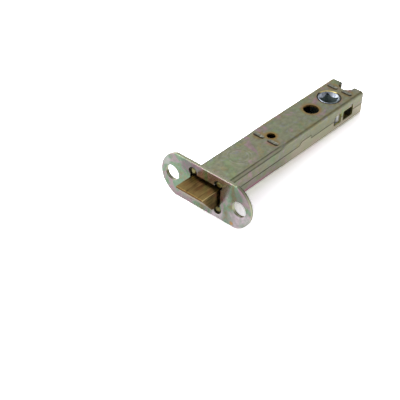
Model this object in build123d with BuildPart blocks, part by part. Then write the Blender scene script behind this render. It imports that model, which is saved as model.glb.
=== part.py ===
from build123d import *

from math import cos, radians, sin
from os import makedirs

makedirs("parts", exist_ok=True)

# Sizes are in millimetres. +Z is up, +Y runs from the forend to the tail and X across the case.
# The origin is the middle of the forend's front face, on the latch bolt's centre line.

# Sizes that set the latch
backset = 107.7  # forend face to spindle centre
tail_length = 19.3  # spindle centre to the end of the tail
case_width = 22.4
case_height = 14.5
sheet = 1.2  # thickness of every folded and pressed steel piece
spindle_square = 8.0
bolt_projection = 12.5

# Clearances
seam_gap = 0.3  # between the two half shells
tab_gap = 0.4  # around the tab that locates them
slot_gap = 0.1  # round a lug in its slot, on each side
fit_gap = 0.05  # round pins and rods, on the radius
slide_gap = 0.25  # between the retractor and the case
contact_gap = 0.25  # between the follower's arms and the retractor's lugs at rest
bolt_side_gap = 0.95  # between the latch bolt and the case's inner side wall
bolt_top_gap = 0.75  # between the latch bolt and the inside of a flat face
spring_gap = 0.3  # between a return spring and the washer on the stem
clip_inset = 0.2  # clip's rim inside the washer's

# Forend plate
plate_length = 61.0
plate_width = 26.4
plate_thickness = 2.0
plate_end_radius = 13.75
plate_edge_radius = 0.3
screw_spacing = 45.4
screw_hole_radius = 4.5
opening_past_x = 0.2  # past the case's inner walls, on each side
opening_past_z = 0.65
relief_radius = 2.7
relief_inset_x = 1.6  # relief's centre inside the opening's end
relief_past_z = 1.0  # relief's centre past the opening's long edge
opening_edge_radius = 0.3

# Case shells
outer_bend = 1.6
inner_bend = 0.4
tail_edge_radius = 1.0
bevel_leg = 1.45
bevel_fade_leg = 0.8
bevel_end = 49.0
bevel_fade = 5.0
seam_z = -0.3
tab_length = 10.4
tab_to_spindle = 31.2
tab_rise = 2.1
tab_top = 1.6
sight_hole_y = 54.3
sight_hole_radius = 2.53
bolt_hole_to_spindle = 17.2
bolt_hole_radius = 4.6
hub_hole_radius = 6.65
hub_hole_chamfer = 0.3
notch_radius = 4.65
notch_inset = 1.75  # centre of the tail notch, ahead of the tail face
window_low = -3.4
window_high = 2.8
window_corner = 0.6
window_lead = 9.2  # front window's front end, ahead of the spindle
front_window_length = 7.0
window_bridge = 1.8
rear_window_length = 9.5
slit_width = 1.4
slit_height = 1.1

# Crosspieces, with lugs staked through the shells
front_crosspiece_y = 50.0
tail_crosspiece_to_spindle = 10.8
front_lug = (4.9, 5.9)  # centre and length along X
tail_lug = (5.0, 6.0)
lug_proud = 0.6
head_width = 1.9
head_spread = 0.25  # past each end of the lug
head_chamfer = 0.2
dent_offset = 0.6  # from the middle of a head
dent_length = 0.7
dent_depth = 0.25

# Latch bolt and its stem
bolt_rear = 10.0
bolt_nose = 0.9  # height of the blunt nose
bevel_root = 4.4  # bevel's lower end, ahead of the forend
bolt_edge_radius = 0.35
stem_radius = 2.0
stem_front = 1.0
stem_rear = 52.0
pin_radius = 1.0
pin_y = 4.2
pin_length = 10.2
washer_radius = 3.2
washer_thickness = 0.6
clip_thickness = 0.6
clip_mouth = 2.4
groove_radius = 1.5
pocket_depth = 3.0

# Follower
hub_radius = 6.27
collar_radius = 7.0
arm_reach = 9.1  # spindle centre to the middle of an arm's rounded tip
arm_tip_radius = 0.6
arm_height = 6.8
arm_angle = 35.0  # the arms lean this far forward at rest, in degrees
arm_root = 5.0
arm_root_rear = -0.4
arm_root_front = -4.28
countersink_radius = 5.75
hub_edge_radius = 0.3

# Retractor
yoke_y = 25.0
yoke_top = 5.0
yoke_corner = 1.5
rail_width = 2.25
lug_length = 3.2
lug_top = 3.4
rail_bend = 0.9
lug_corner_radius = 1.1

# Springs and their guides
guide_radius = 1.2
guide_front = 31.5
guide_head_radius = 1.9
guide_head_length = 0.8
return_spring_radius = 2.5
bolt_spring_radius = 4.0
spring_wire = 0.6

# Worked out from the sizes above
overall_length = backset + tail_length
cavity_width = case_width - 2 * sheet
cavity_height = case_height - 2 * sheet
cavity_end = overall_length - sheet
notch_y = overall_length - notch_inset
bolt_hole_y = backset - bolt_hole_to_spindle
tab_end = backset - tab_to_spindle
tab_start = tab_end - tab_length
front_window_y = backset - window_lead
rear_window_y = front_window_y + front_window_length + window_bridge
rear_window_end = rear_window_y + rear_window_length
tail_crosspiece_y = backset + tail_crosspiece_to_spindle
bolt_width = cavity_width - 2 * bolt_side_gap
bolt_height = cavity_height - 2 * bolt_top_gap
opening_width = cavity_width + 2 * opening_past_x
opening_height = cavity_height + 2 * opening_past_z
relief_spacing_x = opening_width - 2 * relief_inset_x
relief_spacing_z = opening_height + 2 * relief_past_z
clip_radius = washer_radius - clip_inset
guide_x = washer_radius + spring_gap + return_spring_radius
rail_outer = cavity_width / 2 - slide_gap
rail_inner = rail_outer - rail_width
rail_bottom = slide_gap / 2 - cavity_height / 2
yoke_rear = yoke_y + sheet
lug_front = backset - arm_reach * sin(radians(arm_angle)) + arm_tip_radius + contact_gap
lug_rear = lug_front + lug_length
stem_hole_radius = stem_radius + 3 * fit_gap
guide_hole_radius = guide_radius + slide_gap
bolt_spring_front = bolt_rear - pocket_depth


# A plane across the case at a given distance behind the forend face.
def across(y):
    return Plane.XZ.offset(-y)


# The triangle that is cut from one long corner of the case.
def corner_triangle(side, face, leg):
    x = side * case_width / 2
    z = face * case_height / 2
    return Polygon((x, z), (x - side * leg, z), (x, z - face * leg), align=None)


# The whole folded case before it is parted along its seam.
def make_case():
    with BuildPart() as case:
        with BuildSketch(across(plate_thickness)):
            RectangleRounded(case_width, case_height, outer_bend)
        extrude(amount=plate_thickness - overall_length)
        tail_face = case.faces().sort_by(Axis.Y)[-1]
        fillet(tail_face.edges(), tail_edge_radius)
        with BuildSketch(across(plate_thickness)):
            RectangleRounded(cavity_width, cavity_height, inner_bend)
        extrude(amount=plate_thickness - cavity_end, mode=Mode.SUBTRACT)

        # Round holes and lug slots, through both flat faces
        with BuildSketch(Plane.XY.offset(-case_height)):
            with Locations((0, sight_hole_y)):
                Circle(sight_hole_radius)
            with Locations((0, bolt_hole_y)):
                Circle(bolt_hole_radius)
            with Locations((0, backset)):
                Circle(hub_hole_radius)
            with Locations((0, notch_y)):
                Circle(notch_radius)
            for crosspiece_y, (lug_x, lug_span) in (
                (front_crosspiece_y, front_lug),
                (tail_crosspiece_y, tail_lug),
            ):
                with Locations((-lug_x, crosspiece_y), (lug_x, crosspiece_y)):
                    Rectangle(lug_span + 2 * slot_gap, sheet + 2 * slot_gap)
        extrude(amount=2 * case_height, mode=Mode.SUBTRACT)
        hub_edges = case.edges().filter_by(
            lambda edge: edge.geom_type == GeomType.CIRCLE
            and abs(edge.radius - hub_hole_radius) < fit_gap
            and abs(abs(edge.center().Z) - case_height / 2) < fit_gap
        )
        chamfer(hub_edges, hub_hole_chamfer)

        # Windows beside the follower, through the right-hand side wall
        with BuildSketch(Plane.YZ):
            for window_y, length in (
                (front_window_y, front_window_length),
                (rear_window_y, rear_window_length),
            ):
                with Locations((window_y + length / 2, (window_low + window_high) / 2)):
                    RectangleRounded(length, window_high - window_low, window_corner)
            with Locations((rear_window_end - (slit_width + window_corner) / 2, window_high)):
                Rectangle(slit_width, 2 * slit_height)
        extrude(amount=case_width, mode=Mode.SUBTRACT)

        # Flats pressed along the four front corners, which fade into the round bend
        for side in (-1, 1):
            for face in (-1, 1):
                with BuildSketch(across(plate_thickness)):
                    corner_triangle(side, face, bevel_leg)
                extrude(amount=plate_thickness - bevel_end, mode=Mode.SUBTRACT)
                with BuildSketch(across(bevel_end)):
                    corner_triangle(side, face, bevel_leg)
                with BuildSketch(across(bevel_end + bevel_fade)):
                    corner_triangle(side, face, bevel_fade_leg)
                loft(mode=Mode.SUBTRACT)
    return case.part


# One side of the seam as a block: face is 1 for the upper shell and -1 for the lower one.
def make_seam_block(face):
    edge_z = seam_z + (seam_gap if face > 0 else 0)
    grow = tab_gap if face > 0 else 0
    with BuildPart() as block:
        with BuildSketch(Plane.YZ.offset(-case_width)):
            Polygon(
                (0, face * case_height),
                (0, edge_z),
                (tab_start - grow, edge_z),
                (tab_start + tab_rise - grow, tab_top + grow),
                (tab_end + grow, tab_top + grow),
                (tab_end + grow, edge_z),
                (overall_length + 1, edge_z),
                (overall_length + 1, face * case_height),
                align=None,
            )
        extrude(amount=2 * case_width)
    return block.part


# A steel plate across the case. Its lugs pass through both shells, and each ends in a staked head.
def make_crosspiece(y, lug_x, lug_span):
    lug_z = case_height / 2 + lug_proud
    with BuildPart() as crosspiece:
        with BuildSketch(across(y - sheet / 2)):
            Rectangle(cavity_width - 2 * slot_gap, cavity_height - 2 * fit_gap)
            with Locations((-lug_x, 0), (lug_x, 0)):
                Rectangle(lug_span, 2 * lug_z)
        extrude(amount=-sheet)
        for face in (-1, 1):
            with BuildSketch(Plane.XY.offset(face * case_height / 2)):
                with Locations((-lug_x, y), (lug_x, y)):
                    SlotOverall(lug_span + 2 * head_spread, head_width)
            extrude(amount=face * lug_proud)
            head_faces = crosspiece.faces().filter_by(Axis.Z).group_by(Axis.Z)
            chamfer(head_faces[-1 if face > 0 else 0].edges(), head_chamfer)
            with BuildSketch(Plane.XY.offset(face * lug_z)):
                with Locations((dent_offset - lug_x, y), (dent_offset + lug_x, y)):
                    Rectangle(dent_length, 2 * head_width)
            extrude(amount=-face * dent_depth, mode=Mode.SUBTRACT)
    return crosspiece.part


# A spring as a closed sleeve of its coil's outer and inner size.
def make_spring(x, front_y, rear_y, radius):
    with BuildPart() as spring:
        with BuildSketch(across(front_y)):
            with Locations((x, 0)):
                Circle(radius)
                Circle(radius - spring_wire, mode=Mode.SUBTRACT)
        extrude(amount=front_y - rear_y)
    return spring.part


case_blank = make_case()
upper_block = make_seam_block(1)
lower_block = make_seam_block(-1)
front_plate_blank = make_crosspiece(front_crosspiece_y, *front_lug)
tail_plate_blank = make_crosspiece(tail_crosspiece_y, *tail_lug)

# Upper half shell
with BuildPart() as case_upper:
    add(case_blank)
    add(upper_block, mode=Mode.INTERSECT)
case_upper.part.label = "case_upper"
export_step(case_upper.part, "parts/case_upper.step")

# Lower half shell, with the tab that stands up into the upper one
with BuildPart() as case_lower:
    add(case_blank)
    add(lower_block, mode=Mode.INTERSECT)
case_lower.part.label = "case_lower"
export_step(case_lower.part, "parts/case_lower.step")

# Forend plate: straight sides, rounded ends, two screw holes and the bolt's opening
arc_centre = plate_length / 2 - plate_end_radius
with BuildPart() as forend_plate:
    with BuildSketch(Plane.XZ):
        Rectangle(2 * arc_centre, plate_width)
        with Locations((-arc_centre, 0), (arc_centre, 0)):
            Circle(plate_end_radius)
        Rectangle(plate_length, plate_width, mode=Mode.INTERSECT)
    extrude(amount=-plate_thickness)
    front_face = forend_plate.faces().sort_by(Axis.Y)[0]
    fillet(front_face.edges(), plate_edge_radius)
    with BuildSketch(Plane.XZ):
        with GridLocations(screw_spacing, 1, 2, 1):
            Circle(screw_hole_radius)
        Rectangle(opening_width, opening_height)
        with GridLocations(relief_spacing_x, relief_spacing_z, 2, 2):
            Circle(relief_radius)
    extrude(amount=-plate_thickness, mode=Mode.SUBTRACT)
    cut_face = forend_plate.faces().sort_by(Axis.Y)[0]
    opening_wire = max(cut_face.inner_wires(), key=lambda wire: wire.length)
    fillet(opening_wire.edges(), opening_edge_radius)
forend_plate.part.label = "forend_plate"
export_step(forend_plate.part, "parts/forend_plate.step")

# Front crosspiece: holes for the stem and the spring guides, notches for the retractor's rails
with BuildPart() as front_crosspiece:
    add(front_plate_blank)
    with BuildSketch(across(front_crosspiece_y - sheet / 2)):
        Circle(stem_hole_radius)
        with Locations((-guide_x, 0), (guide_x, 0)):
            Circle(guide_radius + fit_gap)
        notch_width = rail_width + 2 * slide_gap
        notch_height = sheet + slide_gap
        with GridLocations(rail_outer + rail_inner, 1, 2, 1):
            with Locations((0, rail_bottom - slide_gap / 2 + notch_height / 2)):
                Rectangle(notch_width, notch_height)
    extrude(amount=-sheet, mode=Mode.SUBTRACT)
front_crosspiece.part.label = "front_crosspiece"
export_step(front_crosspiece.part, "parts/front_crosspiece.step")

# Tail crosspiece
with BuildPart() as tail_crosspiece:
    add(tail_plate_blank)
tail_crosspiece.part.label = "tail_crosspiece"
export_step(tail_crosspiece.part, "parts/tail_crosspiece.step")

# Spring guides, riveted into the front crosspiece, and the two return springs round them
crosspiece_front = front_crosspiece_y - sheet / 2
crosspiece_rear = front_crosspiece_y + sheet / 2
for side_name, guide_side in (("left", -1), ("right", 1)):
    with BuildPart() as spring_guide:
        with BuildSketch(across(guide_front)):
            with Locations((guide_side * guide_x, 0)):
                Circle(guide_radius)
        extrude(amount=guide_front - crosspiece_rear)
        tip_edge = spring_guide.edges().filter_by(GeomType.CIRCLE).sort_by(Axis.Y)[0]
        fillet(tip_edge, guide_radius / 2)
        with BuildSketch(across(crosspiece_rear)):
            with Locations((guide_side * guide_x, 0)):
                Circle(guide_head_radius)
        extrude(amount=-guide_head_length)
        head_edge = spring_guide.edges().filter_by(GeomType.CIRCLE).sort_by(Axis.Y)[-1]
        fillet(head_edge, guide_head_length / 2)
    spring_guide.part.label = f"spring_guide_{side_name}"
    export_step(spring_guide.part, f"parts/spring_guide_{side_name}.step")

    with BuildPart() as return_spring:
        add(
            make_spring(
                guide_side * guide_x,
                yoke_rear + fit_gap,
                crosspiece_front - fit_gap,
                return_spring_radius,
            )
        )
    return_spring.part.label = f"return_spring_{side_name}"
    export_step(return_spring.part, f"parts/return_spring_{side_name}.step")

# Retractor: one bent strip, with a yoke in front, two rails and two upturned lugs behind
with BuildPart() as retractor:
    with BuildSketch(across(yoke_y)):
        with Locations((0, (rail_bottom + yoke_top) / 2)):
            Rectangle(2 * rail_outer, yoke_top - rail_bottom)
    extrude(amount=-sheet)
    with BuildSketch(Plane.XY.offset(rail_bottom)):
        with GridLocations(rail_outer + rail_inner, 1, 2, 1):
            with Locations((0, (yoke_y + lug_rear) / 2)):
                Rectangle(rail_width, lug_rear - yoke_y)
    extrude(amount=sheet)
    bend_edges = retractor.edges().filter_by(Axis.X).group_by(Axis.Z)[0].group_by(Axis.Y)[0]
    fillet(bend_edges, rail_bend)
    top_corners = retractor.edges().filter_by(Axis.Y).group_by(Axis.Z)[-1]
    fillet(top_corners, yoke_corner)
    with BuildSketch(Plane.XY.offset(rail_bottom)):
        for side in (-1, 1):
            with Locations((side * (rail_outer - sheet / 2), (lug_front + lug_rear) / 2)):
                Rectangle(sheet, lug_length)
            with Locations((side * (rail_outer + rail_inner) / 2, lug_front + sheet / 2)):
                Rectangle(rail_width, sheet)
    extrude(amount=lug_top - rail_bottom)
    lug_corners = (
        retractor.edges()
        .filter_by(Axis.Z)
        .filter_by_position(Axis.Y, lug_front - fit_gap, lug_front + fit_gap)
    )
    outer_corners = [edge for edge in lug_corners if abs(edge.center().X) > rail_outer - fit_gap]
    fillet(outer_corners, lug_corner_radius)
    with BuildSketch(across(yoke_y)):
        Circle(stem_hole_radius)
        with Locations((-guide_x, 0), (guide_x, 0)):
            Circle(guide_hole_radius)
    extrude(amount=-sheet, mode=Mode.SUBTRACT)
retractor.part.label = "retractor"
export_step(retractor.part, "parts/retractor.step")

# Latch bolt: flat above, bevelled below, with a stepped bore for the stem and its spring
top_z = bolt_height / 2
with BuildPart() as latch_bolt:
    with BuildSketch(Plane.YZ.offset(-bolt_width / 2)):
        Polygon(
            (bolt_rear, top_z),
            (-bolt_projection, top_z),
            (-bolt_projection, top_z - bolt_nose),
            (-bevel_root, -top_z),
            (bolt_rear, -top_z),
            align=None,
        )
    extrude(amount=bolt_width)
    nose_edges = latch_bolt.edges().filter_by(Axis.X).group_by(Axis.Y)[0]
    fillet(nose_edges, bolt_edge_radius)
    side_faces = latch_bolt.faces().filter_by(Axis.X)
    fillet(side_faces.edges(), bolt_edge_radius)
    with BuildSketch(across(bolt_rear)):
        Circle(bolt_spring_radius + 2 * fit_gap)
    extrude(amount=pocket_depth, mode=Mode.SUBTRACT)
    with BuildSketch(across(bolt_rear)):
        Circle(stem_radius + fit_gap)
    extrude(amount=bolt_rear - stem_front + fit_gap, mode=Mode.SUBTRACT)
    with BuildSketch(Plane.XY.offset(-bolt_height)):
        with Locations((0, pin_y)):
            Circle(pin_radius + fit_gap)
    extrude(amount=2 * bolt_height, mode=Mode.SUBTRACT)
latch_bolt.part.label = "latch_bolt"
export_step(latch_bolt.part, "parts/latch_bolt.step")

# Bolt stem, grooved for its clip
washer_front = yoke_rear + fit_gap
clip_front = washer_front + washer_thickness + fit_gap
with BuildPart() as bolt_stem:
    with BuildSketch(across(stem_front)):
        Circle(stem_radius)
    extrude(amount=stem_front - stem_rear)
    chamfer(bolt_stem.edges().sort_by(Axis.Y)[-1], stem_radius / 4)
    with BuildSketch(across(clip_front - fit_gap)):
        Circle(stem_radius)
        Circle(groove_radius, mode=Mode.SUBTRACT)
    extrude(amount=-(clip_thickness + 2 * fit_gap), mode=Mode.SUBTRACT)
    with BuildSketch(Plane.XY.offset(-bolt_height)):
        with Locations((0, pin_y)):
            Circle(pin_radius + fit_gap)
    extrude(amount=2 * bolt_height, mode=Mode.SUBTRACT)
bolt_stem.part.label = "bolt_stem"
export_step(bolt_stem.part, "parts/bolt_stem.step")

# Cross pin that holds the stem in the latch bolt
with BuildPart() as stem_pin:
    with BuildSketch(Plane.XY.offset(-pin_length / 2)):
        with Locations((0, pin_y)):
            Circle(pin_radius)
    extrude(amount=pin_length)
    chamfer(stem_pin.edges().filter_by(GeomType.CIRCLE), pin_radius / 5)
stem_pin.part.label = "stem_pin"
export_step(stem_pin.part, "parts/stem_pin.step")

# Washer behind the yoke
with BuildPart() as stem_washer:
    with BuildSketch(across(washer_front)):
        Circle(washer_radius)
        Circle(stem_radius + fit_gap, mode=Mode.SUBTRACT)
    extrude(amount=-washer_thickness)
stem_washer.part.label = "stem_washer"
export_step(stem_washer.part, "parts/stem_washer.step")

# Open clip that snaps into the stem's groove
with BuildPart() as stem_clip:
    with BuildSketch(across(clip_front)):
        Circle(clip_radius)
        Circle(groove_radius + fit_gap, mode=Mode.SUBTRACT)
        with Locations((0, -clip_radius / 2)):
            Rectangle(clip_mouth, clip_radius, mode=Mode.SUBTRACT)
    extrude(amount=-clip_thickness)
stem_clip.part.label = "stem_clip"
export_step(stem_clip.part, "parts/stem_clip.step")

# Light spring between the bolt's pocket and the yoke
with BuildPart() as bolt_spring:
    add(make_spring(0, bolt_spring_front + fit_gap, yoke_y - fit_gap, bolt_spring_radius))
bolt_spring.part.label = "bolt_spring"
export_step(bolt_spring.part, "parts/bolt_spring.step")

# Follower: a hub that turns in both shells, a collar between them and two arms to the lugs
countersink_depth = countersink_radius - spindle_square / 2
with BuildPart() as follower:
    with BuildSketch(Plane.XY.offset(-case_height / 2)):
        with Locations((0, backset)):
            Circle(hub_radius)
    extrude(amount=case_height)
    fillet(follower.edges().filter_by(GeomType.CIRCLE), hub_edge_radius)
    with BuildSketch(Plane.XY.offset(slide_gap - cavity_height / 2)):
        with Locations((0, backset)):
            Circle(collar_radius)
    extrude(amount=cavity_height - 2 * slide_gap)
    for side in (-1, 1):
        arm_direction = (side * cos(radians(arm_angle)), -sin(radians(arm_angle)), 0)
        arm_plane = Plane(
            origin=(0, backset, -side * arm_height / 2),
            x_dir=arm_direction,
            z_dir=(0, 0, side),
        )
        with BuildSketch(arm_plane):
            Polygon(
                (arm_root, arm_root_rear),
                (arm_reach, arm_tip_radius),
                (arm_reach, -arm_tip_radius),
                (arm_root, arm_root_front),
                align=None,
            )
            with Locations((arm_reach, 0)):
                Circle(arm_tip_radius)
        extrude(amount=arm_height)
    with BuildSketch(Plane.XY.offset(-case_height)):
        with Locations((0, backset)):
            Rectangle(spindle_square, spindle_square)
    extrude(amount=2 * case_height, mode=Mode.SUBTRACT)
    for face in (-1, 1):
        mouth = Plane(origin=(0, backset, face * case_height / 2), z_dir=(0, 0, face))
        with BuildSketch(mouth):
            Circle(countersink_radius)
        with BuildSketch(mouth.offset(-countersink_depth)):
            Circle(spindle_square / 2)
        loft(mode=Mode.SUBTRACT)
follower.part.label = "follower"
export_step(follower.part, "parts/follower.step")
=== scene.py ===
import bpy
from math import cos, radians, sin, tau
from mathutils import Matrix, Vector


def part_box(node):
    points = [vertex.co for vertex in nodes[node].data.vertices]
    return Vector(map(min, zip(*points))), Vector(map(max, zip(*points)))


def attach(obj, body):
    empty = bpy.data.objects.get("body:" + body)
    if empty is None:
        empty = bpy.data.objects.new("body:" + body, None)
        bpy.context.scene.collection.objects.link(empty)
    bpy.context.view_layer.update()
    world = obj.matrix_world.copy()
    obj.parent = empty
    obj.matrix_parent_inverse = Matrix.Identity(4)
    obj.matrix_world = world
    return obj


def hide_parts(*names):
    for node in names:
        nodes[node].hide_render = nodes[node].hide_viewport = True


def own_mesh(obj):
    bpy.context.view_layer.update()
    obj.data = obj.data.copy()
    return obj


# Door latch in metres: Y runs from the forend to the tail, Z is up out of the case's flat face.
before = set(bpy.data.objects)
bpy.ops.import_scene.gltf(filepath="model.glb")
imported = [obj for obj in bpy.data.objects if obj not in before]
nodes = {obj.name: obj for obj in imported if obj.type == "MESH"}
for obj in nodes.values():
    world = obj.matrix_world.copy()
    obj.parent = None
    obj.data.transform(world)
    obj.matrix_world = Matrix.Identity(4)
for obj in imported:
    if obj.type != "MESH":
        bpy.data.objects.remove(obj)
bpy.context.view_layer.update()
print("latch frame loaded:", len(nodes), "nodes")

scene = bpy.context.scene
scene.view_settings.view_transform = "Standard"

# Node building helpers, shared by every finish


def startFinish(name, metallic, roughness):
    finish = bpy.data.materials.new(name)
    finish.use_nodes = True
    shader = finish.node_tree.nodes["Principled BSDF"]
    shader.inputs["Metallic"].default_value = metallic
    shader.inputs["Roughness"].default_value = roughness
    return finish, shader


def addNode(finish, kind, settings=None, **inputs):
    node = finish.node_tree.nodes.new(kind)
    for key, value in (settings or {}).items():
        setattr(node, key, value)
    for key, value in inputs.items():
        plug(finish, value, socketOf(node, key))
    return node


def socketOf(node, key):
    number = key[2:]
    if key.startswith("in") and number.isdigit():  # in0, in1 and so on are counted inputs
        return node.inputs[int(number)]
    return node.inputs[key.replace("_", " ")]


def plug(finish, value, socket):
    if isinstance(value, bpy.types.NodeSocket):
        finish.node_tree.links.new(value, socket)
    else:
        socket.default_value = value


def restPlace(finish):
    return addNode(finish, "ShaderNodeTexCoord").outputs["Object"]


def axesOf(finish, place):
    node = addNode(finish, "ShaderNodeSeparateXYZ", in0=place)
    return node.outputs["X"], node.outputs["Y"], node.outputs["Z"]


def stretched(finish, place, scale):
    return addNode(finish, "ShaderNodeMapping", in0=place, in3=scale).outputs[0]


def cloud(finish, place, span, detail=3.0, rough=0.55, warp=0.0):
    node = addNode(
        finish, "ShaderNodeTexNoise", Vector=place, Scale=1.0 / span, Detail=detail,
        Roughness=rough, Distortion=warp,
    )
    return node.outputs["Fac"]


def ramp(finish, value, stops):
    node = addNode(finish, "ShaderNodeValToRGB", Fac=value)
    band = node.color_ramp
    band.interpolation = "EASE"
    while len(band.elements) < len(stops):
        band.elements.new(0.5)
    for element, (position, colour) in zip(band.elements, stops):
        element.position = position
        element.color = (*colour, 1.0)
    return node.outputs["Color"]


def fade(finish, value, low, high, toLow=0.0, toHigh=1.0):
    node = addNode(
        finish, "ShaderNodeMapRange", {"interpolation_type": "SMOOTHSTEP"},
        in0=value, in1=low, in2=high, in3=toLow, in4=toHigh,
    )
    return node.outputs[0]


def fadeOut(finish, value, low, high, start=1.0):
    return fade(finish, value, low, high, start, 0.0)


def reckon(finish, operation, first, second=0.0, third=0.0):
    node = addNode(finish, "ShaderNodeMath", {"operation": operation}, in0=first, in1=second, in2=third)
    return node.outputs[0]


def times(finish, first, second):
    return reckon(finish, "MULTIPLY", first, second)


def minus(finish, first, second):
    return reckon(finish, "SUBTRACT", first, second)


def larger(finish, first, second):
    return reckon(finish, "MAXIMUM", first, second)


def magnitude(finish, value):
    return reckon(finish, "ABSOLUTE", value)


def spotDistance(finish, place, centre):
    away = addNode(finish, "ShaderNodeVectorMath", {"operation": "DISTANCE"}, in0=place)
    away.inputs[1].default_value = centre
    return away.outputs["Value"]


def holeDistance(finish, place, centre):  # from a hole's axis, which runs along Z
    flat = addNode(finish, "ShaderNodeVectorMath", {"operation": "MULTIPLY"}, in0=place, in1=(1, 1, 0))
    return spotDistance(finish, flat.outputs[0], (centre[0], centre[1], 0))


def pastSpan(finish, value, start, end):  # how far past the ends of a span, below zero inside it
    return minus(finish, magnitude(finish, minus(finish, value, (start + end) / 2)), (end - start) / 2)


def lineAt(finish, value, centre, reach):
    return fadeOut(finish, magnitude(finish, minus(finish, value, centre)), *reach)


def blendColour(finish, share, under, over, mode="MIX"):
    node = addNode(finish, "ShaderNodeMix", {"data_type": "RGBA", "blend_type": mode})
    plug(finish, share, node.inputs[0])
    plug(finish, under if isinstance(under, bpy.types.NodeSocket) else (*under, 1.0), node.inputs[6])
    plug(finish, over if isinstance(over, bpy.types.NodeSocket) else (*over, 1.0), node.inputs[7])
    return node.outputs[2]


def darken(finish, colour, share, shade):
    return blendColour(finish, share, colour, blendColour(finish, 1.0, colour, (shade,) * 3, "MULTIPLY"))


def speckleTones(finish, colour, mottle, tones):
    stops = [(position, (tone,) * 3) for position, tone in zip(zinc["mottleSpread"], tones)]
    return blendColour(finish, 1.0, colour, ramp(finish, mottle, stops), "MULTIPLY")


def roundHeights(finish, shader, height, strength, depth, edge):
    rounded = addNode(finish, "ShaderNodeBevel", {"samples": 4}, Radius=edge).outputs[0]
    bump = addNode(finish, "ShaderNodeBump", Strength=strength, Distance=depth, Height=height, Normal=rounded)
    finish.node_tree.links.new(bump.outputs[0], shader.inputs["Normal"])


def linear(red, green, blue):
    def one(level):
        share = level / 255
        return share / 12.92 if share <= 0.04045 else ((share + 0.055) / 1.055) ** 2.4
    return one(red), one(green), one(blue)


# Yellow passivated zinc: olive grey that drifts to green, rose and tan
zinc = {
    "olive": linear(148, 150, 125),
    "green": linear(142, 157, 121),
    "rose": linear(167, 142, 146),
    "grey": linear(151, 151, 157),
    "tan": linear(160, 146, 100),
    "halo": linear(160, 124, 58),
    "drift": ((0.37, "rose"), (0.46, "olive"), (0.54, "olive"), (0.64, "green")),
    "driftSize": 0.013,
    "toneSize": 0.0045,
    "tanTone": {"from": (0.52, 0.72), "share": 0.6},
    "greyTone": {"from": (0.46, 0.30), "share": 0.7},
    "mottleSize": 0.0018,
    "mottleStretch": (1.0, 0.6, 1.0),
    "mottleSpread": (0.3, 0.7),  # where the noise is at its dark tone and at its light one
    "mottleTones": (0.86, 1.13),
    "metal": 0.93,
    "roughness": 0.36,
    "roughSpread": (-0.07, 0.08),
    "grain": {"size": 0.0005, "strength": 0.22, "depth": 0.00004},
    "edgeRound": 0.00022,
}

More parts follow.
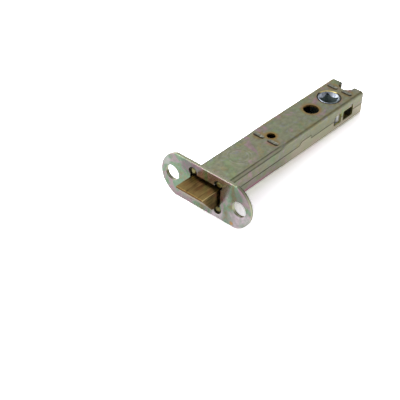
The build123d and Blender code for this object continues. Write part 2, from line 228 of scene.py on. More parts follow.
# Marks on the case shells, in metres. A reach runs from where a mark is full to where it ends.
caseMarks = {
    "holes": (  # centre, radius, width of the tan halo and its strength
        ((0.0, 0.0543), 0.00253, 0.0024, 0.85),
        ((0.0, 0.0905), 0.0046, 0.0026, 0.75),
        ((0.0, 0.1077), 0.0069, 0.0024, 0.4),
    ),
    "lugs": {
        "centres": ((-0.0049, 0.05), (0.0049, 0.05), (-0.005, 0.1185), (0.005, 0.1185)),
        "halfSpan": 0.0023,
        "halo": (0.0024, 0.0048, 0.5),
        # the last three entries paint a shadow round each staked head on the shell, set toward its front left
        "shift": (-0.0002, -0.0006),
        "grime": (0.0009, 0.0013),
        "shade": 0.3,
    },
    # painted shade along the two creases of each corner flat, ahead of the front crosspiece
    "creases": {  # where each pressed corner flat meets the faces, ahead of the front crosspiece
        "lines": ((0.00965, 0.0, 0.00725), (0.0112, 0.0, 0.0057)),
        "reach": (0.0002, 0.0005),
        "end": (0.047, 0.054),
        "shade": 0.5,
    },
    # a painted highlight down the middle of each corner flat
    "strip": {  # the pale middle of each corner flat
        "line": (0.01045, 0.0, 0.0065),
        "reach": (0.0002, 0.0006, 0.6),
        "colour": linear(178, 176, 150),
    },
    # painted shade on the sides ahead of the front crosspiece, and along the rear bend of the top
    "side": {"from": (0.0110, 0.01115), "front": (0.046, 0.058), "shade": 0.94},
    "bend": {
        "line": (0.0100, 0.0, 0.0072),
        "reach": (0.0002, 0.0007),
        "start": (0.050, 0.058),
        "shade": 0.66,
    },
    # tan patches along the rear bend
    "tanBend": {
        "inner": (0.0076, 0.0098),
        "outer": (0.0104, 0.0108),
        "start": (0.050, 0.058, 0.15, 1.0),
        "size": 0.009,
        "patches": (0.42, 0.62, 0.1, 0.7),
    },
    # painted highlight round the rims of the windows on the right side
    "windows": {
        "spans": ((0.0985, 0.1055), (0.1073, 0.1168)),
        "heights": (-0.0034, 0.0028),
        "outside": (0.01005, 0.01015),
        "reach": (0.00015, 0.00045, 0.7),
        "colour": linear(206, 204, 132),
    },
    "seam": {
        "height": -0.00015,
        "reach": (0.0002, 0.0005),
        "tab": (0.0655, 0.0770),
        "step": 0.0001,
        "shade": 0.45,
    },
    "notch": {
        "centre": (0.0, 0.12525),
        "radius": (0.00470, 0.00475),
        "leftWall": (-0.001, 0.001),
        "shade": 0.25,
    },
    "rim": {  # the wall of the follower's bearing hole, with a painted gold highlight where it faces the light and painted shade elsewhere
        "centre": (0.0, 0.1077),
        "radius": (0.00715, 0.00720),
        "height": (0.0068, 0.0069),
        "goldSide": (-0.64, 0.77),
        "goldFrom": (0.00429, 0.00572),
        "dark": linear(52, 50, 40),
        "gold": linear(255, 236, 160),
    },
    "fold": {"along": 0.0755, "reach": (0.0001, 0.0003), "height": (0.0021, 0.0023), "shade": 0.8},
    "ring": {
        "centre": (-0.0005, 0.028),
        "radii": (0.0067, 0.0049),
        "reach": (0.0, 0.0005),
        "height": (0.0071, 0.0072),
        "size": 0.0035,
        "patches": (0.40, 0.60, 0.1, 0.8),
        "colour": linear(176, 174, 158),
    },
    # painted shade inside the case in front, painted light from the windows in the tail
    "cavity": {
        "half": (0.01004, 0.0061),
        "end": 0.12585,
        "edge": 0.00003,
        "tailFrom": (0.103, 0.105),
        "tailMetal": 0.05,
        "front": linear(24, 23, 19),
        "tail": linear(190, 168, 104),
    },
}

# The lower shell's side lies near the floor: a rose band in front, rose patches, painted shade toward the
# front and painted light from the floor toward the rear
lowerSide = {
    "offset": (0.043, 0.017, 0.029),  # gives it other blotches than the upper shell's
    "band": {
        "below": (-0.0042, -0.0034), "end": (0.030, 0.052), "outside": (0.0105, 0.0110),
        "share": 0.85, "colour": linear(170, 118, 135),
    },
    "patches": {"size": 0.012, "from": (0.45, 0.6), "share": 0.6},
    "front": {"end": (0.040, 0.055), "shade": 0.93},
    "floorLit": {"from": (0.048, 0.066), "share": 0.65, "colour": linear(186, 182, 152)},
}


def zincColour(finish, place, offset):
    moved = addNode(finish, "ShaderNodeVectorMath", {"operation": "ADD"}, in0=place, in1=offset).outputs[0]
    drift = cloud(finish, moved, zinc["driftSize"], detail=5.0, rough=0.62, warp=1.2)
    colour = ramp(finish, drift, [(position, zinc[film]) for position, film in zinc["drift"]])
    tone = cloud(finish, moved, zinc["toneSize"], detail=5.0, rough=0.65, warp=0.8)
    for film, settings in (("tan", zinc["tanTone"]), ("grey", zinc["greyTone"])):
        thick = fade(finish, tone, *settings["from"], 0.0, settings["share"])
        colour = blendColour(finish, thick, colour, zinc[film])
    longer = stretched(finish, moved, zinc["mottleStretch"])
    mottle = cloud(finish, longer, zinc["mottleSize"], detail=4.0, rough=0.7, warp=0.2)
    return speckleTones(finish, colour, mottle, zinc["mottleTones"]), mottle


# Each mark below takes at, the measures of the painted place, with the colour so far
def placeOnCase(finish):
    place = restPlace(finish)
    x, y, z = axesOf(finish, place)
    wide, high = magnitude(finish, x), magnitude(finish, z)
    section = addNode(finish, "ShaderNodeCombineXYZ", in0=wide, in1=0.0, in2=high).outputs[0]
    onSide = fade(finish, wide, *caseMarks["side"]["from"])
    return {
        "place": place, "x": x, "y": y, "z": z,
        "wide": wide, "high": high, "section": section, "onSide": onSide,
    }


def stainHoles(finish, at, colour):
    for centre, radius, reach, strength in caseMarks["holes"]:
        near = fadeOut(finish, holeDistance(finish, at["place"], centre), radius, radius + reach, strength)
        colour = blendColour(finish, near, colour, zinc["halo"])
    return colour


def lugDistance(finish, at, centre):  # from the middle line of a staked head, which lies along X
    lugs = caseMarks["lugs"]
    past = magnitude(finish, minus(finish, at["x"], centre[0] + lugs["shift"][0]))
    past = larger(finish, minus(finish, past, lugs["halfSpan"]), 0.0)
    beside = minus(finish, at["y"], centre[1] + lugs["shift"][1])
    squares = reckon(finish, "ADD", times(finish, past, past), times(finish, beside, beside))
    return reckon(finish, "SQRT", squares)


def stainAndShadowLugs(finish, at, colour):
    lugs = caseMarks["lugs"]
    for centre in lugs["centres"]:
        near = fadeOut(finish, holeDistance(finish, at["place"], centre), *lugs["halo"])
        colour = blendColour(finish, near, colour, zinc["halo"])
        # painted shadow of the staked head on the shell
        grime = fadeOut(finish, lugDistance(finish, at, centre), *lugs["grime"])
        colour = darken(finish, colour, grime, lugs["shade"])
    return colour


# Painted shade along the creases and a painted highlight on the flat between them
def shadeCreases(finish, at, colour):
    creases, strip = caseMarks["creases"], caseMarks["strip"]
    front = fadeOut(finish, at["y"], *creases["end"])
    for crease in creases["lines"]:
        line = fadeOut(finish, spotDistance(finish, at["section"], crease), *creases["reach"])
        colour = darken(finish, colour, times(finish, line, front), creases["shade"])
    line = fadeOut(finish, spotDistance(finish, at["section"], strip["line"]), *strip["reach"])
    return blendColour(finish, times(finish, line, front), colour, strip["colour"])


# Painted shade on the front of the sides and along the rear bend, with tan patches by the bend
def shadeBend(finish, at, colour):
    side, bend, edgeBand = caseMarks["side"], caseMarks["bend"], caseMarks["tanBend"]
    front = times(finish, at["onSide"], fadeOut(finish, at["y"], *side["front"]))
    colour = darken(finish, colour, front, side["shade"])
    line = fadeOut(finish, spotDistance(finish, at["section"], bend["line"]), *bend["reach"])
    colour = darken(finish, colour, times(finish, line, fade(finish, at["y"], *bend["start"])), bend["shade"])
    near = fade(finish, at["wide"], *edgeBand["inner"])
    near = times(finish, near, fadeOut(finish, at["wide"], *edgeBand["outer"]))
    near = times(finish, near, fade(finish, at["y"], *edgeBand["start"]))
    patches = fade(finish, cloud(finish, at["place"], edgeBand["size"], rough=0.6), *edgeBand["patches"])
    return blendColour(finish, times(finish, near, patches), colour, zinc["tan"])


# Painted highlight round the windows' rims on the right side
def highlightWindowRims(finish, at, colour):
    windows = caseMarks["windows"]
    beside = pastSpan(finish, at["z"], *windows["heights"])
    outside = fade(finish, at["x"], *windows["outside"])
    for span in windows["spans"]:
        off = larger(finish, pastSpan(finish, at["y"], *span), beside)
        near = times(finish, fadeOut(finish, off, *windows["reach"]), outside)
        colour = blendColour(finish, near, colour, windows["colour"])
    return colour


# Painted shade along the seam between the shells, broken where the locating tab stands
def shadeSeam(finish, at, colour):
    seam = caseMarks["seam"]
    start, end = seam["tab"]
    line = times(finish, lineAt(finish, at["z"], seam["height"], seam["reach"]), at["onSide"])
    ahead = fadeOut(finish, at["y"], start - seam["step"], start)
    behind = fade(finish, at["y"], end, end + seam["step"])
    return darken(finish, colour, times(finish, line, larger(finish, ahead, behind)), seam["shade"])


# Painted shade on the left wall of the tail notch
def shadeNotch(finish, at, colour):
    notch = caseMarks["notch"]
    onWall = fadeOut(finish, holeDistance(finish, at["place"], notch["centre"]), *notch["radius"])
    onWall = times(finish, onWall, fadeOut(finish, at["x"], *notch["leftWall"]))
    return darken(finish, colour, onWall, notch["shade"])


# Painted highlight and painted shade on the wall of the bearing hole
def lightRimWall(finish, at, colour):
    rim = caseMarks["rim"]
    inRim = fadeOut(finish, holeDistance(finish, at["place"], rim["centre"]), *rim["radius"])
    goldX, goldY = rim["goldSide"]
    toward = times(finish, minus(finish, at["y"], rim["centre"][1]), goldY)
    toward = reckon(finish, "MULTIPLY_ADD", at["x"], goldX, toward)
    wall = blendColour(finish, fade(finish, toward, *rim["goldFrom"]), rim["dark"], rim["gold"])
    return blendColour(finish, times(finish, inRim, fade(finish, at["high"], *rim["height"])), colour, wall)


# A painted shade line down the side where the tab folds
def shadeFold(finish, at, colour):
    fold = caseMarks["fold"]
    line = lineAt(finish, at["y"], fold["along"], fold["reach"])
    line = times(finish, line, fade(finish, at["z"], *fold["height"]))
    return darken(finish, colour, times(finish, line, at["onSide"]), fold["shade"])


def markRing(finish, at, colour):
    ring = caseMarks["ring"]
    away = holeDistance(finish, at["place"], ring["centre"])
    onTop = fade(finish, at["z"], *ring["height"])
    broken = fade(finish, cloud(finish, at["place"], ring["size"], detail=2.0, rough=0.5), *ring["patches"])
    for radius in ring["radii"]:
        line = times(finish, lineAt(finish, away, radius, ring["reach"]), onTop)
        colour = blendColour(finish, times(finish, line, broken), colour, ring["colour"])
    return colour


def tintLowerSide(finish, at, colour):
    band, patches, front, lit = (lowerSide[key] for key in ("band", "patches", "front", "floorLit"))
    inBand = times(finish, fadeOut(finish, at["z"], *band["below"]), fadeOut(finish, at["y"], *band["end"]))
    inBand = times(finish, inBand, fade(finish, at["x"], *band["outside"]))
    colour = blendColour(finish, times(finish, inBand, band["share"]), colour, band["colour"])
    rose = cloud(finish, at["place"], patches["size"], detail=2.0, rough=0.5)
    rose = fade(finish, rose, *patches["from"])
    rose = times(finish, times(finish, rose, patches["share"]), at["onSide"])
    colour = blendColour(finish, rose, colour, zinc["rose"])
    # painted shade toward the front, painted light from the floor toward the rear
    ahead = times(finish, at["onSide"], fadeOut(finish, at["y"], *front["end"]))
    colour = darken(finish, colour, ahead, front["shade"])
    behind = times(finish, fade(finish, at["y"], *lit["from"], 0.0, lit["share"]), at["onSide"])
    return blendColour(finish, behind, colour, lit["colour"])


# Painted shade makes the inside nearly black in front, and painted light makes it tan in the tail where the
# windows light it
def shadeAndLightInside(finish, shader, at, colour):
    cavity = caseMarks["cavity"]
    inside = 1.0
    for value, limit in zip((at["wide"], at["high"], at["y"]), (*cavity["half"], cavity["end"])):
        within = fadeOut(finish, value, limit - cavity["edge"], limit + cavity["edge"])
        inside = times(finish, inside, within)
    tail = fade(finish, at["y"], *cavity["tailFrom"])
    metal = fade(finish, times(finish, inside, tail), 0.0, 1.0, zinc["metal"], cavity["tailMetal"])
    finish.node_tree.links.new(metal, shader.inputs["Metallic"])
    return blendColour(finish, inside, colour, blendColour(finish, tail, cavity["front"], cavity["tail"]))


def makeCaseFinish(name, offset, marks):
    finish, shader = startFinish(name, zinc["metal"], zinc["roughness"])
    at = placeOnCase(finish)
    colour, mottle = zincColour(finish, at["place"], offset)
    for mark in marks:
        colour = mark(finish, at, colour)
    finish.node_tree.links.new(shadeAndLightInside(finish, shader, at, colour), shader.inputs["Base Color"])
    rough = [zinc["roughness"] + spread for spread in zinc["roughSpread"]]
    rough = fade(finish, mottle, *zinc["mottleSpread"], *rough)
    finish.node_tree.links.new(rough, shader.inputs["Roughness"])
    grain = zinc["grain"]
    speckle = cloud(finish, at["place"], grain["size"], rough=0.6)
    roundHeights(finish, shader, speckle, grain["strength"], grain["depth"], zinc["edgeRound"])
    return finish


# The forend plate is smoother, with stronger rose and green films
forendLook = {
    "rose": linear(172, 134, 148),
    "green": linear(126, 155, 129),
    "silver": linear(158, 150, 148),
    "olive": linear(138, 136, 104),
    "film": ((0.34, "rose"), (0.46, "silver"), (0.55, "green"), (0.66, "olive")),
    "filmSize": 0.012,
    "patchSize": 0.006,
    "patchStretch": (1.0, 1.0, 1.6),
    "rosePatch": (0.52, 0.68, 0.0, 0.5),
    "silverPatch": (0.46, 0.32, 0.0, 0.5),
    "pale": linear(214, 202, 209),
    "paleFilm": (0.36, 0.56, 1.0, 0.45),
    "paleCore": 0.3,  # the share of a patch's reach within which it is full
    "paleShare": 0.9,
    "palePatches": (
        ((0.0215, 0.0, -0.0085), 0.009), ((0.009, 0.0, -0.0105), 0.007), ((0.0085, 0.0, -0.0100), 0.0060),
        ((0.0280, 0.0, -0.0045), 0.0055), ((-0.0275, 0.0, 0.0065), 0.0045),
    ),
    # painted shade patches on the plate's face
    "shadePatches": (
        ((-0.012, 0.0, 0.0095), 0.007), ((0.0205, 0.0, 0.0068), 0.0075), ((-0.006, 0.0, 0.0118), 0.0045),
    ),
    "shadePatchCore": 0.35,
    "shadePatchLevel": 0.62,
    "amber": {
        "spot": (0.0185, 0.0, -0.0112),
        "reach": (0.0004, 0.0017, 0.75),
        "colour": linear(214, 148, 76),
    },
    "mottleTones": (0.9, 1.08),
    # painted highlight on the plate's edge faces
    "edge": {
        "front": (0.0001, 0.0003),
        "rear": (0.00185, 0.00195),
        "share": 0.9,
        "colour": linear(178, 180, 150),
    },
    # painted shade on the rear of the right end's edge
    "rearEdge": {"across": (0.0011, 0.0014), "along": (0.0200, 0.0240), "shade": 0.6},
    # painted shade on the walls of the bolt's opening, with a ragged edge
    "opening": {
        "half": (0.01028, 0.00678),
        "behind": (0.0002, 0.0004),
        "edge": 0.00005,
        "raggedSize": 0.0011,
        "ragged": (0.3, 0.7, -0.00018, 0.00018),
        "colour": linear(30, 28, 22),
    },
    "metal": 0.95,
    "roughness": 0.24,
    "grain": {"strength": 0.12, "depth": 0.00004},
}


def forendFilms(finish, place):
    film = cloud(finish, place, forendLook["filmSize"], detail=4.0, rough=0.6, warp=1.4)
    colour = ramp(finish, film, [(position, forendLook[tone]) for position, tone in forendLook["film"]])
    shorter = stretched(finish, place, forendLook["patchStretch"])
    patch = cloud(finish, shorter, forendLook["patchSize"], detail=4.0, rough=0.6, warp=0.8)
    for tone, patches in (("rose", "rosePatch"), ("silver", "silverPatch")):
        colour = blendColour(finish, fade(finish, patch, *forendLook[patches]), colour, forendLook[tone])
    thin = fade(finish, film, *forendLook["paleFilm"])
    for centre, reach in forendLook["palePatches"]:
        away = spotDistance(finish, place, centre)
        near = fadeOut(finish, away, forendLook["paleCore"] * reach, reach, forendLook["paleShare"])
        colour = blendColour(finish, times(finish, near, thin), colour, forendLook["pale"])
    # painted shade patches
    for centre, reach in forendLook["shadePatches"]:
        near = fadeOut(finish, spotDistance(finish, place, centre), forendLook["shadePatchCore"] * reach, reach)
        colour = darken(finish, colour, near, forendLook["shadePatchLevel"])
    amber = forendLook["amber"]
    near = fadeOut(finish, spotDistance(finish, place, amber["spot"]), *amber["reach"])
    return blendColour(finish, near, colour, amber["colour"])


def forendEdges(finish, place, colour):
    x, y, z = axesOf(finish, place)
    edge, rear, opening = (forendLook[key] for key in ("edge", "rearEdge", "opening"))
    # painted highlight on the edge faces, painted shade on the rear of the right end
    onEdge = times(finish, fade(finish, y, *edge["front"]), fadeOut(finish, y, *edge["rear"]))
    colour = blendColour(finish, times(finish, onEdge, edge["share"]), colour, edge["colour"])
    inShade = times(finish, fade(finish, y, *rear["across"]), fade(finish, x, *rear["along"]))
    colour = darken(finish, colour, times(finish, inShade, onEdge), rear["shade"])
    # painted shade in the opening
    ragged = cloud(finish, place, opening["raggedSize"], detail=2.0, rough=0.5)
    ragged = fade(finish, ragged, *opening["ragged"])
    offX = minus(finish, magnitude(finish, x), opening["half"][0])
    offZ = minus(finish, magnitude(finish, z), opening["half"][1])
    off = reckon(finish, "ADD", larger(finish, offX, offZ), ragged)
    inOpening = fadeOut(finish, off, -opening["edge"], opening["edge"])
    inOpening = times(finish, inOpening, fade(finish, y, *opening["behind"]))
    return blendColour(finish, inOpening, colour, opening["colour"])


def makeForendFinish(name):
    finish, shader = startFinish(name, forendLook["metal"], forendLook["roughness"])
    place = restPlace(finish)
    mottle = cloud(finish, place, zinc["mottleSize"], detail=4.0, rough=0.7, warp=0.2)
    colour = speckleTones(finish, forendFilms(finish, place), mottle, forendLook["mottleTones"])
    finish.node_tree.links.new(forendEdges(finish, place, colour), shader.inputs["Base Color"])
    grain = forendLook["grain"]
    speckle = cloud(finish, place, zinc["grain"]["size"], rough=0.6)
    roundHeights(finish, shader, speckle, grain["strength"], grain["depth"], zinc["edgeRound"])
    return finish


# Satin brass of the latch bolt, with its grain along Y
brassLook = {
    "pale": linear(150, 127, 78),
    "deep": linear(96, 75, 38),
    "grain": (0.38, 0.60),
    "drawn": {"size": 0.0007, "stretch": (1.0, 0.05, 1.0), "share": 0.6},
    "broad": {"size": 0.005, "stretch": (1.0, 0.3, 1.0), "share": 0.4},
    # painted light toward the nose and painted shade near the plate, laid on the grain
    "lightTowardNose": (-0.0115, -0.0040, 0.06, -0.02),
    "copper": {"size": 0.004, "patches": (0.5, 0.7, 0.0, 0.4), "colour": linear(150, 108, 66)},
    # painted shade on the nose face
    "noseShade": {"reach": (-0.01235, -0.01215, 0.9), "colour": linear(92, 66, 34)},
    # painted highlight along the bolt's corner
    "edge": {  # the corner line where the handle side meets the top
        "line": (0.00905, 0.0, 0.0053),
        "reach": (0.0002, 0.0005),
        "end": (-0.004, -0.001),
        "colour": linear(240, 214, 150),
    },
    "nick": {"place": (0.0012, -0.0007, 0.0053), "reach": (0.0002, 0.0006), "colour": linear(24, 22, 16)},
    "roughness": 0.3,
    "brushed": {"strength": 0.4, "depth": 0.00005, "edgeRound": 0.0002},
}


def makeBrass(name):
    finish, shader = startFinish(name, 1.0, brassLook["roughness"])
    drawnLook, broadLook, copper, noseShade, edge, nick, brushed = (
        brassLook[key] for key in ("drawn", "broad", "copper", "noseShade", "edge", "nick", "brushed")
    )
    place = restPlace(finish)
    x, y, z = axesOf(finish, place)
    fine = stretched(finish, place, drawnLook["stretch"])
    drawn = cloud(finish, fine, drawnLook["size"], detail=5.0, rough=0.65)
    coarse = stretched(finish, place, broadLook["stretch"])
    broad = cloud(finish, coarse, broadLook["size"], rough=0.6)
    grain = times(finish, broad, broadLook["share"])
    grain = reckon(finish, "MULTIPLY_ADD", drawn, drawnLook["share"], grain)
    # painted light toward the nose, painted shade near the plate
    grain = reckon(finish, "ADD", grain, fade(finish, y, *brassLook["lightTowardNose"]))
    colour = ramp(finish, grain, list(zip(brassLook["grain"], (brassLook["deep"], brassLook["pale"]))))
    warm = fade(finish, cloud(finish, place, copper["size"], rough=0.6), *copper["patches"])
    colour = blendColour(finish, warm, colour, copper["colour"])
    # painted shade on the nose face
    colour = blendColour(finish, fadeOut(finish, y, *noseShade["reach"]), colour, noseShade["colour"])
    corner = addNode(finish, "ShaderNodeCombineXYZ", in0=x, in1=0.0, in2=z).outputs[0]
    # painted highlight along the corner
    edgeBand = fadeOut(finish, spotDistance(finish, corner, edge["line"]), *edge["reach"])
    edgeBand = times(finish, edgeBand, fadeOut(finish, y, *edge["end"]))
    colour = blendColour(finish, edgeBand, colour, edge["colour"])
    inNick = fadeOut(finish, spotDistance(finish, place, nick["place"]), *nick["reach"])
    colour = blendColour(finish, inNick, colour, nick["colour"])
    finish.node_tree.links.new(colour, shader.inputs["Base Color"])
    roundHeights(finish, shader, drawn, brushed["strength"], brushed["depth"], brushed["edgeRound"])
    return finish


# Bright zinc of the follower and of the retractor, plain steel inside, and spring wire. The hidden
# tone is painted shade for steel out of the light, and metal is how metallic the lit tone is beside it.
brightLook = {
    "pale": linear(188, 195, 208), "dull": linear(142, 150, 163), "hidden": linear(128, 142, 140),
    "roughness": 0.22, "metal": 1.0, "mottleSize": 0.0016,
}
lugLook = {
    "pale": linear(248, 248, 250), "dull": linear(224, 226, 230), "hidden": linear(52, 54, 52),
    "roughness": 0.42, "metal": 0.3, "mottleSize": 0.0016,
}
steelLook = {
    "pale": linear(188, 188, 170), "dull": linear(132, 133, 116), "hidden": linear(52, 54, 52),
    "roughness": 0.34, "metal": 1.0, "mottleSize": 0.0016,
}
wireLook = {
    "pale": linear(160, 162, 168), "dull": linear(104, 106, 112),
    "roughness": 0.3, "mottleSize": 0.001,
}
steelTones = {"dull": 0.35, "pale": 0.65}  # where the noise is at each tone
steelGrain = {"sizeShare": 0.3, "strength": 0.2, "depth": 0.00003, "edgeRound": 0.0002}
hiddenMetal = 0.35


def makeSteel(name, look, shown=None):
    finish, shader = startFinish(name, 1.0, look["roughness"])
    place = restPlace(finish)
    mottle = cloud(finish, place, look["mottleSize"], detail=4.0, rough=0.6, warp=0.4)
    colour = ramp(finish, mottle, [(position, look[tone]) for tone, position in steelTones.items()])
    if shown:
        lit = shown(finish, *axesOf(finish, place))
        colour = blendColour(finish, lit, look["hidden"], colour)
        metal = fade(finish, lit, 0.0, 1.0, hiddenMetal, look["metal"])
        finish.node_tree.links.new(metal, shader.inputs["Metallic"])
    finish.node_tree.links.new(colour, shader.inputs["Base Color"])
    fine = cloud(finish, place, look["mottleSize"] * steelGrain["sizeShare"], detail=2.0, rough=0.5)
    roundHeights(finish, shader, fine, steelGrain["strength"], steelGrain["depth"], steelGrain["edgeRound"])
    return finish


# Where each steel piece takes its lit tone rather than its painted shade, in metres from the latch's origin
shownParts = {
    "hubFace": (0.0054, 0.0056),
    "hubRight": (0.0010, 0.0060, 1.0, 0.45),
    "railOutside": (0.0094, 0.0096),
    "rearLug": (0.0965, 0.0970),
    "headHeight": (0.00745, 0.00772, 0.25, 1.0),
    "headRows": (0.0500, 0.1185),  # Y of the front and of the tail heads
    "betweenRows": (0.0800, 0.0801),
    "headFront": (-0.0010, -0.0003, 0.45, 1.0),
    "headX": 0.00495,
    "headLeft": (-0.0030, 0.0010, 0.4, 1.0),
}


def outerFaces(finish, x, y, z):  # lit tone at the two ends of the hub, painted shade in its bore, on its arms and toward its right
    onFace = fade(finish, magnitude(finish, z), *shownParts["hubFace"])
    return times(finish, onFace, fade(finish, x, *shownParts["hubRight"]))


def outerLugs(finish, x, y, z):  # lit tone on the lugs and on the outside of the rails, painted shade elsewhere
    outside = fade(finish, magnitude(finish, x), *shownParts["railOutside"])
    return larger(finish, outside, fade(finish, y, *shownParts["rearLug"]))


def lugHeads(finish, x, y, z):  # lit tone on top of the staked heads, painted shade round their sides, their front and their left ends
    row = fade(finish, y, *shownParts["betweenRows"], *shownParts["headRows"])
    lit = fade(finish, minus(finish, y, row), *shownParts["headFront"])
    middle = times(finish, reckon(finish, "SIGN", x), shownParts["headX"])
    lit = times(finish, lit, fade(finish, minus(finish, x, middle), *shownParts["headLeft"]))
    return times(finish, fade(finish, magnitude(finish, z), *shownParts["headHeight"]), lit)


shellMarks = [stainHoles, stainAndShadowLugs, shadeCreases, shadeBend, highlightWindowRims, shadeSeam, shadeNotch, lightRimWall]
upperFinish = makeCaseFinish("passivatedUpper", (0.0, 0.0, 0.0), [*shellMarks, shadeFold, markRing])
lowerFinish = makeCaseFinish("passivatedLower", lowerSide["offset"], [*shellMarks, markRing, tintLowerSide])
forendFinish = makeForendFinish("passivatedForend")
brassFinish = makeBrass("boltBrass")
followerFinish = makeSteel("brightFollower", brightLook, outerFaces)
retractorFinish = makeSteel("brightRetractor", lugLook, outerLugs)
crosspieceFinish = makeSteel("stakedSteel", steelLook, lugHeads)
steelFinish = makeSteel("plainSteel", steelLook)
wireFinish = makeSteel("springWire", wireLook)

for nodeName, finish in (
    ("case_upper", upperFinish), ("case_lower", lowerFinish), ("forend_plate", forendFinish),
    ("latch_bolt", brassFinish), ("follower", followerFinish), ("retractor", retractorFinish),
    ("front_crosspiece", crosspieceFinish), ("tail_crosspiece", crosspieceFinish),
    ("spring_guide_left", steelFinish), ("spring_guide_right", steelFinish),
    ("bolt_stem", steelFinish), ("stem_pin", steelFinish), ("stem_washer", steelFinish),
    ("stem_clip", wireFinish),
):
    nodes[nodeName].material_slots[0].material = finish
print("finishes on the latch's pieces")

# Coil springs: two push the retractor forward, one lets the bolt slam shut
springs = {
    "return_spring_left": {"body": "case", "joint": "retractor_slide", "turns": 13, "fixedEnd": "rear"},
    "return_spring_right": {"body": "case", "joint": "retractor_slide", "turns": 13, "fixedEnd": "rear"},
    "bolt_spring": {"body": "bolt", "joint": "bolt_slam", "turns": 9, "fixedEnd": "front"},
    "wire": 0.0006,
    "travel": 0.01044,
    "deadTurns": 1.25,
    "deadRise": 0.51,  # rise of a closed end turn, as a share of the wire's width
    "stepsPerTurn": 22,
    "wireSides": 10,
}


def coilPoints(centreX, front, rear, radius, turns):
    wire, dead = springs["wire"], springs["deadTurns"]
    rise = wire * springs["deadRise"]
    steps = int(turns * springs["stepsPerTurn"])
    start, end = front + wire / 2, rear - wire / 2
    first, last = start + rise * dead, end - rise * dead
    points = []
    for step in range(steps + 1):
        turn = turns * step / steps
        if turn < dead:
            along = start + rise * turn
        elif turn > turns - dead:
            along = end - rise * (turns - turn)
        else:
            along = first + (last - first) * (turn - dead) / (turns - 2 * dead)
        angle = tau * turn
        points.append(Vector((centreX + radius * cos(angle), along, radius * sin(angle))))
    return points


def ringFaces(rings, sides):  # the walls between rings of points, one ring after another
    faces = []
    for ring in range(rings - 1):
        for side in range(sides):
            a, b = ring * sides + side, ring * sides + (side + 1) % sides
            faces.append((a, b, b + sides, a + sides))
    return faces


def tubeMesh(name, points, radius, sides):
    vertices = []
    for index, point in enumerate(points):
        before = points[max(index - 1, 0)]
        after = points[min(index + 1, len(points) - 1)]
        along = (after - before).normalized()
        outward = along.cross(Vector((0, 1, 0))).normalized()
        other = along.cross(outward)
        for side in range(sides):
            angle = tau * side / sides
            vertices.append(point + outward * radius * cos(angle) + other * radius * sin(angle))
    last = (len(points) - 1) * sides
    ends = [tuple(range(sides))[::-1], tuple(last + side for side in range(sides))]
    mesh = bpy.data.meshes.new(name)
    mesh.from_pydata(vertices, [], ringFaces(len(points), sides) + ends)
    mesh.validate()
    for polygon in mesh.polygons:
        polygon.use_smooth = True
    return mesh


def makeCoil(nodeName, pieceName):
    low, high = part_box(nodeName)
    settings = springs[nodeName]
    radius = (high.x - low.x) / 2 - springs["wire"] / 2
    points = coilPoints((low.x + high.x) / 2, low.y, high.y, radius, settings["turns"])
    mesh = tubeMesh(pieceName, points, springs["wire"] / 2, springs["wireSides"])
    piece = bpy.data.objects.new(pieceName, mesh)
    scene.collection.objects.link(piece)
    mesh.materials.append(wireFinish)
    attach(piece, settings["body"])
    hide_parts(nodeName)
    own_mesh(piece)


makeCoil("return_spring_left", "returnCoilLeft")
makeCoil("return_spring_right", "returnCoilRight")
makeCoil("bolt_spring", "boltCoil")
print("coil springs in place")

# The case's four front corners, staked into the round reliefs of the forend plate
stakes = {
    "centre": (0.0086, 0.0077),
    "profile": ((0.0019, 0.00255), (0.0013, 0.00255), (0.0012, 0.0017), (0.0008, 0.0016), (0.0006, 0.0010)),
    "flat": 0.0062,  # height of the straight side, over the bolt's opening
    "flatLean": 0.3,
    "waves": (0.05, 0.03),  # the hammered outline, by three and by five waves round it
    "steps": 40,
}
stakeLook = {
    "pale": linear(150, 144, 98), "dull": linear(112, 106, 66), "hidden": linear(26, 25, 20),
    "roughness": 0.34, "metal": 1.0, "mottleSize": 0.0009, "domeEnd": (0.00115, 0.00125),
}


def stakeFronts(finish, x, y, z):  # the olive dome stands in front of its root, which is painted shade
    return fadeOut(finish, y, *stakeLook["domeEnd"])


stakeFinish = makeSteel("stakedCorner", stakeLook, stakeFronts)


def makeStake(name, sideX, sideZ):
    centreX, centreZ = stakes["centre"]
    three, five = stakes["waves"]
    steps, profile = stakes["steps"], stakes["profile"]
    points = []
    for along, radius in profile:
        lowest = stakes["flat"] + stakes["flatLean"] * (profile[0][1] - radius)
        for step in range(steps):
            angle = tau * step / steps
            reach = radius * (1 + three * sin(3 * angle + sideX) + five * sin(5 * angle + sideZ))
            pointZ = max(centreZ + reach * sin(angle), lowest)
            points.append((sideX * (centreX + reach * cos(angle)), along, sideZ * pointZ))
    last = (len(profile) - 1) * steps
    ends = [tuple(range(steps)), tuple(last + step for step in range(steps))[::-1]]
    faces = ends + ringFaces(len(profile), steps)
    if sideX * sideZ > 0:  # mirroring one way only turns the faces outward
        faces = [face[::-1] for face in faces]
    mesh = bpy.data.meshes.new(name)
    mesh.from_pydata(points, [], faces)
    mesh.validate()
    piece = bpy.data.objects.new(name, mesh)
    scene.collection.objects.link(piece)
    mesh.materials.append(stakeFinish)
    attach(piece, "case")


for name, sideX, sideZ in (
    ("stakeUpperLeft", -1, 1), ("stakeUpperRight", 1, 1),
    ("stakeLowerLeft", -1, -1), ("stakeLowerRight", 1, -1),
):
    makeStake(name, sideX, sideZ)
print("staked corners in the forend")

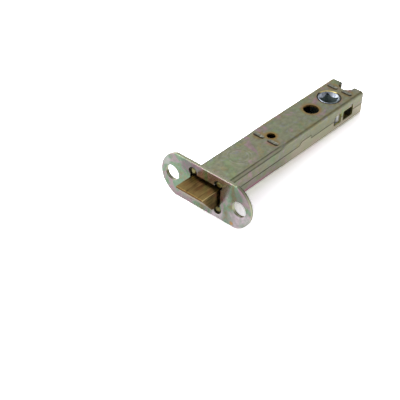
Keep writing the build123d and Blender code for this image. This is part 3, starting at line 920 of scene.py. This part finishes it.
# Floor, lamps, world and camera
floorLook = {
    "tilt": 2.610,  # degrees, as the latch lies on its forend's edge and its tail
    "drop": 0.0132774,
    "size": 3.0,
    "colour": 0.8,
    "roughness": 0.9,
    "lift": 0.40,
    "seenColour": (2.70, 2.67, 2.80),
}
sky = {
    "overhead": 0.30,
    "horizon": 0.60,
    "horizonReach": (0.06, 0.80),
    "windowSide": (-0.75, -0.35, 0.56),  # the big soft window is front left
    "windowGlow": 1.1,
    "windowReach": (0.36, 0.97),
}
lamps = {"keySoftbox": {"place": (-0.45, 0.08, 0.56), "size": 0.4, "power": 1.9}}
cameraLook = {
    "place": (0.270893, -0.325870, 0.329373),
    "aim": (-0.018089, 0.017474, -0.026351),
    "roll": 2.2177,
    "lens": 93.70,
    "sensor": 36.0,
    "shift": (0.0015, 0.0013),
    "nearest": 0.01,
}
latchMiddle = Vector((0.0, 0.05, 0.0))


# The paper clips to white for the camera, so that only the latch's near shadow shows on it
def lightPaper(finish, shader):
    path = addNode(finish, "ShaderNodeLightPath")
    paper = (floorLook["colour"],) * 3
    paper = blendColour(finish, path.outputs["Is Camera Ray"], paper, floorLook["seenColour"])
    finish.node_tree.links.new(paper, shader.inputs["Base Color"])
    mirrored = larger(finish, path.outputs["Is Glossy Ray"], path.outputs["Is Transmission Ray"])
    finish.node_tree.links.new(times(finish, mirrored, floorLook["lift"]), shader.inputs["Emission Strength"])


def makeFloor():
    half = floorLook["size"] / 2
    corners = [(-half, -half, 0), (half, -half, 0), (half, half, 0), (-half, half, 0)]
    mesh = bpy.data.meshes.new("studioFloor")
    mesh.from_pydata(corners, [], [(0, 1, 2, 3)])
    floor = bpy.data.objects.new("studioFloor", mesh)
    scene.collection.objects.link(floor)
    turned = Matrix.Rotation(radians(floorLook["tilt"]), 4, "X")
    floor.matrix_world = Matrix.Translation(turned @ Vector((0, 0, -floorLook["drop"]))) @ turned
    finish, shader = startFinish("floorPaper", 0.0, floorLook["roughness"])
    shader.inputs["Specular IOR Level"].default_value = 0.0
    shader.inputs["Emission Color"].default_value = (1, 1, 1, 1)
    lightPaper(finish, shader)
    mesh.materials.append(finish)


def makeWorld():
    world = bpy.data.worlds.new("studioSky")
    world.use_nodes = True
    scene.world = world
    background = world.node_tree.nodes["Background"]
    background.inputs["Color"].default_value = (1, 1, 1, 1)
    heading = addNode(world, "ShaderNodeTexCoord").outputs["Generated"]
    height = axesOf(world, heading)[2]
    low = fade(world, height, *sky["horizonReach"], sky["overhead"] + sky["horizon"], sky["overhead"])
    toward = addNode(world, "ShaderNodeVectorMath", {"operation": "DOT_PRODUCT"}, in0=heading)
    toward.inputs[1].default_value = Vector(sky["windowSide"]).normalized()
    window = fade(world, toward.outputs["Value"], *sky["windowReach"], 0.0, sky["windowGlow"])
    world.node_tree.links.new(reckon(world, "ADD", low, window), background.inputs["Strength"])


def makeLamp(name, settings):
    light = bpy.data.lights.new(name, "AREA")
    light.energy = settings["power"]
    light.size = settings["size"]
    lamp = bpy.data.objects.new(name, light)
    scene.collection.objects.link(lamp)
    lamp.location = settings["place"]
    lamp.rotation_euler = (latchMiddle - lamp.location).to_track_quat("-Z", "Y").to_euler()


def makeCamera():
    lens = bpy.data.cameras.new("photoCamera")
    lens.lens = cameraLook["lens"]
    lens.sensor_width = cameraLook["sensor"]
    lens.shift_x, lens.shift_y = cameraLook["shift"]
    lens.clip_start = cameraLook["nearest"]
    camera = bpy.data.objects.new("photoCamera", lens)
    scene.collection.objects.link(camera)
    place = Vector(cameraLook["place"])
    level = (Vector(cameraLook["aim"]) - place).to_track_quat("-Z", "Y").to_matrix().to_4x4()
    rolled = Matrix.Rotation(radians(cameraLook["roll"]), 4, "Z")
    camera.matrix_world = Matrix.Translation(place) @ level @ rolled
    scene.camera = camera


makeFloor()
makeWorld()
for lampName, lampSettings in lamps.items():
    makeLamp(lampName, lampSettings)
makeCamera()
print("floor, lamps and camera set")
